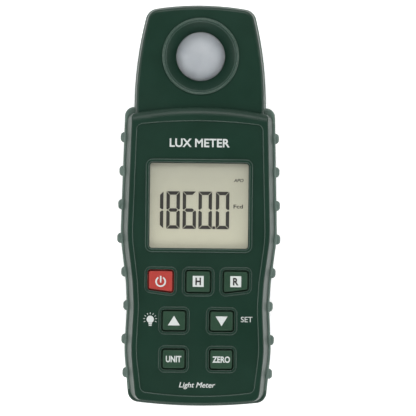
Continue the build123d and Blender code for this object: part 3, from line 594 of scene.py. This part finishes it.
def bulb_sign():
    """Bulb, neck and rays as closed outlines."""
    key = middle("key_up")
    x, y = key.x + SIGN_FROM_KEY[0], key.y + SIGN_FROM_KEY[1]
    bulb = [(x + BULB_RADIUS * math.sin(turn), y + BULB_RADIUS * math.cos(turn))
            for turn in (math.radians(10 * step) for step in range(36))]
    neck = [bar_outline(x, y - 1.9 * MM, 1.6 * MM, 0.9 * MM),
            bar_outline(x, y - 2.8 * MM, 1.4 * MM, 0.45 * MM)]
    rays = []
    for index in range(RAYS):
        turn = math.radians(RAY_STEP * (index - (RAYS - 1) // 2))
        along = Vector((math.sin(turn), math.cos(turn)))
        beside = Vector((along.y, -along.x)) * RAY_HALF
        near = Vector((x, y)) + along * RAY_NEAR
        far = Vector((x, y)) + along * RAY_FAR
        rays.append([
            tuple(near - beside), tuple(near + beside), tuple(far + beside), tuple(far - beside),
        ])
    return [bulb] + neck + rays


surface_patch("lamp_sign", bulb_sign(), PANEL_HEIGHT, INK_THICKNESS, print_finish, "case")


# ---------------------------------------------------------------------------------------------
# Fixings and inner works: plated steel screws, a brass insert, the two boards and what they
# carry, the battery in its printed sleeve, and the blank foil label on the back.
# ---------------------------------------------------------------------------------------------
def metal(name, colour, roughness):
    """Turned or stamped metal with faint tool lines and a few dull spots."""
    finish = Finish(name, Metallic=1.0)
    place = finish.place()
    spots = finish.spread(finish.noise(420.0, 4.0, 0.6, place), 0.45, 0.75)
    line = finish.noise(900.0, 2.0, 0.5, place)
    finish.set(
        Base_Color=finish.blend(spots * 0.5, colour, darkened(colour, 0.6)),
        Roughness=roughness + 0.18 * spots,
        Normal=finish.bump(line, 0.2, 0.02 * MM),
    )
    return finish


SMOOTH = 0.05                          # bump of foil and of clear mouldings
steel_finish = metal("plated steel", srgb(196, 197, 199), 0.28)
brass_finish = metal("turned brass", srgb(206, 172, 104), 0.25)
copper_finish = metal("tinned copper", srgb(214, 160, 120), 0.3)
board_finish = plain_moulding("solder resist", srgb(24, 92, 52), 0.4)
black_finish = plain_moulding("component black", srgb(28, 28, 30), 0.5)
silicone_finish = rubber("grey silicone", srgb(150, 152, 156), srgb(166, 168, 172), GRIP_GRAIN)
sleeve_finish = plain_moulding("battery sleeve", srgb(38, 40, 46), 0.32)
label_finish = plain_moulding("label foil", srgb(196, 199, 200), 0.3, SMOOTH)
guide_finish = plain_moulding("light guide", srgb(226, 229, 222), 0.2, SMOOTH)
filter_finish = plain_moulding("optical filter", srgb(120, 148, 126), 0.1, 0.02)
finishes = {
    steel_finish: ("snap_domes", "case_screws", "board_screws", "crystal_can", "photodiode"),
    brass_finish: ("tripod_insert",),
    copper_finish: ("battery_leads", "sensor_ribbon"),
    board_finish: ("main_board", "sensor_board"),
    black_finish: ("processor_chip", "converter_chip", "range_relay", "buzzer", "capacitors"),
    silicone_finish: ("spacer_sheet", "contact_strips"),
    sleeve_finish: ("battery",),
    label_finish: ("back_label",),
    guide_finish: ("backlight",),
    filter_finish: ("light_filter",),
}
for finish, members in finishes.items():
    for node in members:
        dress(node, finish)


# ---------------------------------------------------------------------------------------------
# Studio: a wide white sheet under the meter, white walls, soft lamps at its head, tail and
# sides, and a camera straight above.
# ---------------------------------------------------------------------------------------------
SHEET_GLOW = 0.45                      # what the sheet adds where it is seen or mirrored
SHEET_HALF = 3.0


def sheet_finish():
    """White paper. Seen directly, in a gloss or through the window, it is nearly full white."""
    finish = Finish("white sheet", Roughness=0.9, Emission_Strength=1.0)
    rays = [finish.node("ShaderNodeLightPath", out=ray)
            for ray in ("Is Camera Ray", "Is Glossy Ray", "Is Transmission Ray")]
    glow = finish.node("ShaderNodeMath", {"operation": "MINIMUM"}, {0: sum(rays), 1: 1.0})
    fibre = finish.spread(finish.noise(35.0, 4.0, 0.6), 0.3, 0.7)
    finish.set(
        Base_Color=finish.blend(fibre, srgb(232, 232, 231), srgb(237, 237, 237)),
        Emission_Color=finish.blend(glow, (0.0, 0.0, 0.0, 1.0), (SHEET_GLOW,) * 3 + (1.0,)),
    )
    return finish


def floor_sheet():
    mesh = bmesh.new()
    bmesh.ops.create_grid(mesh, x_segments=4, y_segments=4, size=SHEET_HALF)
    data = bpy.data.meshes.new("floor_sheet")
    mesh.to_mesh(data)
    mesh.free()
    floor = bpy.data.objects.new("floor_sheet", data)
    bpy.context.scene.collection.objects.link(floor)
    data.materials.append(sheet_finish().material)


floor_sheet()
WALL_LEVEL = 2.0
OVERHEAD_LEVEL = 0.10
WALL_TOP = 0.5                         # height on a ball of radius 1 where the walls end


def studio_world():
    """White walls all round, dimmer overhead. Looked at directly it is plain white."""
    world = bpy.data.worlds.new("studio")
    bpy.context.scene.world = world
    world.use_nodes = True
    tree = world.node_tree
    sky = tree.nodes["Background"]
    sky.inputs["Color"].default_value = (1.0, 1.0, 1.0, 1.0)
    place = tree.nodes.new("ShaderNodeTexCoord")
    height = tree.nodes.new("ShaderNodeSeparateXYZ")
    fall = tree.nodes.new("ShaderNodeMapRange")
    fall.inputs["From Max"].default_value = WALL_TOP
    fall.inputs["To Min"].default_value = WALL_LEVEL
    fall.inputs["To Max"].default_value = OVERHEAD_LEVEL
    seen = tree.nodes.new("ShaderNodeLightPath")
    level = tree.nodes.new("ShaderNodeMix")
    level.inputs["B"].default_value = 1.0
    tree.links.new(place.outputs["Generated"], height.inputs["Vector"])
    tree.links.new(height.outputs["Z"], fall.inputs["Value"])
    tree.links.new(seen.outputs["Is Camera Ray"], level.inputs["Factor"])
    tree.links.new(fall.outputs["Result"], level.inputs["A"])
    tree.links.new(level.outputs["Result"], sky.inputs["Strength"])


studio_world()


def lamp(name, place, aim, size, power):
    """Soft box at a place, turned to face a point."""
    light = bpy.data.lights.new(name, "AREA")
    light.shape = "RECTANGLE"
    light.size, light.size_y = size
    light.energy = power
    box = bpy.data.objects.new(name, light)
    bpy.context.scene.collection.objects.link(box)
    box.location = place
    box.rotation_euler = (Vector(aim) - Vector(place)).to_track_quat("-Z", "Y").to_euler()


METER = (0, 0, 0.02)
TAIL_HALF = (0, -0.06, 0.02)
lamp("head_lamp", (0.0, 0.8, 0.95), METER, size=(1.0, 0.5), power=9.6)
lamp("left_lamp", (-1.0, 0.0, 0.7), METER, size=(0.5, 0.8), power=5.0)
lamp("right_lamp", (1.0, 0.0, 0.7), METER, size=(0.5, 0.8), power=5.0)
lamp("tail_lamp", (0.0, -0.55, 0.5), TAIL_HALF, size=(0.6, 0.4), power=3.2)

CAMERA_HEIGHT = 1.60
CAMERA_ASIDE = (4.2 * MM, -1.0 * MM)
CAMERA_ROLL = math.radians(0.62)
SHOWN_SPAN = 195.5 * MM                # width of the view at the height of the case's seam
SEAM_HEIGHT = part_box("rear_case")[1].z
camera = bpy.data.cameras.new("camera")
camera.sensor_width = 36.0
camera.lens = camera.sensor_width * (CAMERA_HEIGHT - SEAM_HEIGHT) / SHOWN_SPAN
eye = bpy.data.objects.new("camera", camera)
bpy.context.scene.collection.objects.link(eye)
eye.location = (*CAMERA_ASIDE, CAMERA_HEIGHT)
eye.rotation_euler = (0, 0, CAMERA_ROLL)
bpy.context.scene.camera = eye
bpy.context.scene.view_settings.view_transform = "Standard"
